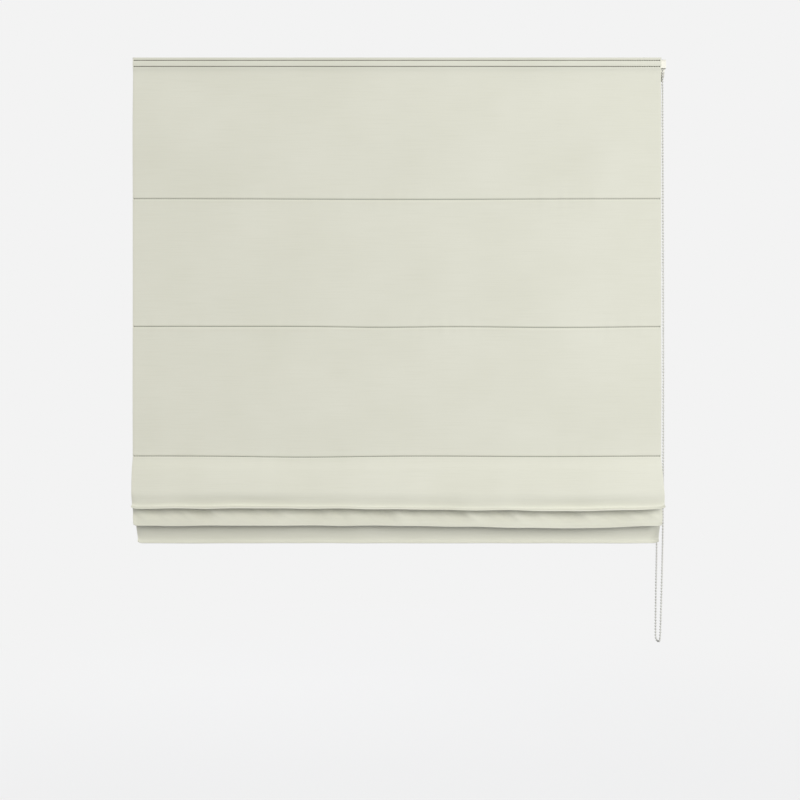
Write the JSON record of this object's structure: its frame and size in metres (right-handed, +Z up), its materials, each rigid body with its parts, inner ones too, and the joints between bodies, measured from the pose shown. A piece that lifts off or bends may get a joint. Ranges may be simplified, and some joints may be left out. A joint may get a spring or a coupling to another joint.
{
  "type": "roman blind",
  "caption": "Roman blind: a flat cloth panel with stitched seams, gathered into folds at the bottom, hung from a headrail and raised on cords by a looped bead chain at its right edge.",
  "frame": {"origin": "midway between the two bracket screw holes, on the plane that the brackets are screwed up to", "axes": "+X along the headrail towards the chain, +Y to the back, towards the window, +Z up"},
  "size_m": [1.0787, 0.0698, 1.1888],
  "materials": {
    "face_fabric": "plain weave, matte, pale ivory",
    "lining_fabric": "sateen lining, matte, off-white",
    "woven_tape": "woven tape, matte, white",
    "rail_aluminium": "white powder coat",
    "bar_aluminium": "mill finish",
    "bracket_steel": "white paint",
    "white_plastic": "moulded, satin, ivory white",
    "clear_plastic": "moulded, milky",
    "batten_rod": "glass-fibre rod, satin",
    "shaft_steel": "bright zinc",
    "spring_steel": "oiled spring wire",
    "lift_cord": "braided polyester, white",
    "chain_cord": "braided polyester, white",
    "chain_bead": "moulded beads, white"
  },
  "bodies": {
    "headrail": {"headrail": "rail_aluminium", "bracket_left": "bracket_steel", "bracket_right": "bracket_steel", "hook_tape": "woven_tape", "loop_tape": "woven_tape", "face_cloth": "face_fabric", "lining": "lining_fabric", "left_end_cap": "white_plastic", "drive_housing": "white_plastic", "drive_cover": "white_plastic", "chain_cord": "chain_cord", "chain_beads": "chain_bead", "spool_cradle_left": "white_plastic", "spool_cradle_middle": "white_plastic", "spool_cradle_right": "white_plastic", "lift_cord_left": "lift_cord", "lift_cord_middle": "lift_cord", "lift_cord_right": "lift_cord"},
    "drive": {"chain_wheel": "white_plastic", "drive_core": "white_plastic", "brake_spring": "spring_steel", "shaft_coupling": "white_plastic", "drive_shaft": "shaft_steel", "shaft_bush": "white_plastic", "cord_spool_left": "white_plastic", "cord_spool_middle": "white_plastic", "cord_spool_right": "white_plastic", "wound_cord_left": "lift_cord", "wound_cord_middle": "lift_cord", "wound_cord_right": "lift_cord"},
    "batten_1": {"batten_1": "batten_rod", "batten_tape_1": "woven_tape", "cord_eyelets_1": "clear_plastic"},
    "batten_2": {"batten_2": "batten_rod", "batten_tape_2": "woven_tape", "cord_eyelets_2": "clear_plastic"},
    "batten_3": {"batten_3": "batten_rod", "batten_tape_3": "woven_tape", "cord_eyelets_3": "clear_plastic"},
    "batten_4": {"batten_4": "batten_rod", "batten_tape_4": "woven_tape", "cord_eyelets_4": "clear_plastic"},
    "batten_5": {"batten_5": "batten_rod", "batten_tape_5": "woven_tape", "cord_eyelets_5": "clear_plastic", "cord_stops": "white_plastic", "bottom_bar": "bar_aluminium", "bar_caps": "white_plastic"}
  },
  "joints": [
    {"name": "drive_turn", "type": "hinge", "parent": "headrail", "child": "drive", "pos_m": [0, 0, -0.024], "axis": [-1, 0, 0], "range_deg": [0, 3240], "deforming": ["chain_cord", "chain_beads"]},
    {"name": "batten_1_rise", "type": "slide", "parent": "headrail", "child": "batten_1", "axis": [0, 0.0127, 0.9999], "range_m": [0, 0.23552], "deforming": ["face_cloth", "lining", "lift_cord_left", "lift_cord_middle", "lift_cord_right"]},
    {"name": "batten_2_rise", "type": "slide", "parent": "batten_1", "child": "batten_2", "axis": [0, 0.0121, 0.9999], "range_m": [0, 0.24702]},
    {"name": "batten_3_rise", "type": "slide", "parent": "batten_2", "child": "batten_3", "axis": [0, 0.1206, 0.9927], "range_m": [0, 0.24882]},
    {"name": "batten_4_rise", "type": "slide", "parent": "batten_3", "child": "batten_4", "axis": [0, 0.0275, 0.9996], "range_m": [-0.20708, 0]},
    {"name": "batten_5_rise", "type": "slide", "parent": "batten_4", "child": "batten_5", "axis": [0, 0.0275, 0.9996], "range_m": [-0.20708, 0]}
  ],
  "couplings": [
    {"joint": "batten_1_rise", "follows": "drive_turn", "m_per_rad": 0.0041649},
    {"joint": "batten_2_rise", "follows": "drive_turn", "m_per_rad": 0.0043682},
    {"joint": "batten_3_rise", "follows": "drive_turn", "m_per_rad": 0.0044},
    {"joint": "batten_5_rise", "follows": "batten_4_rise", "ratio": 1}
  ]
}
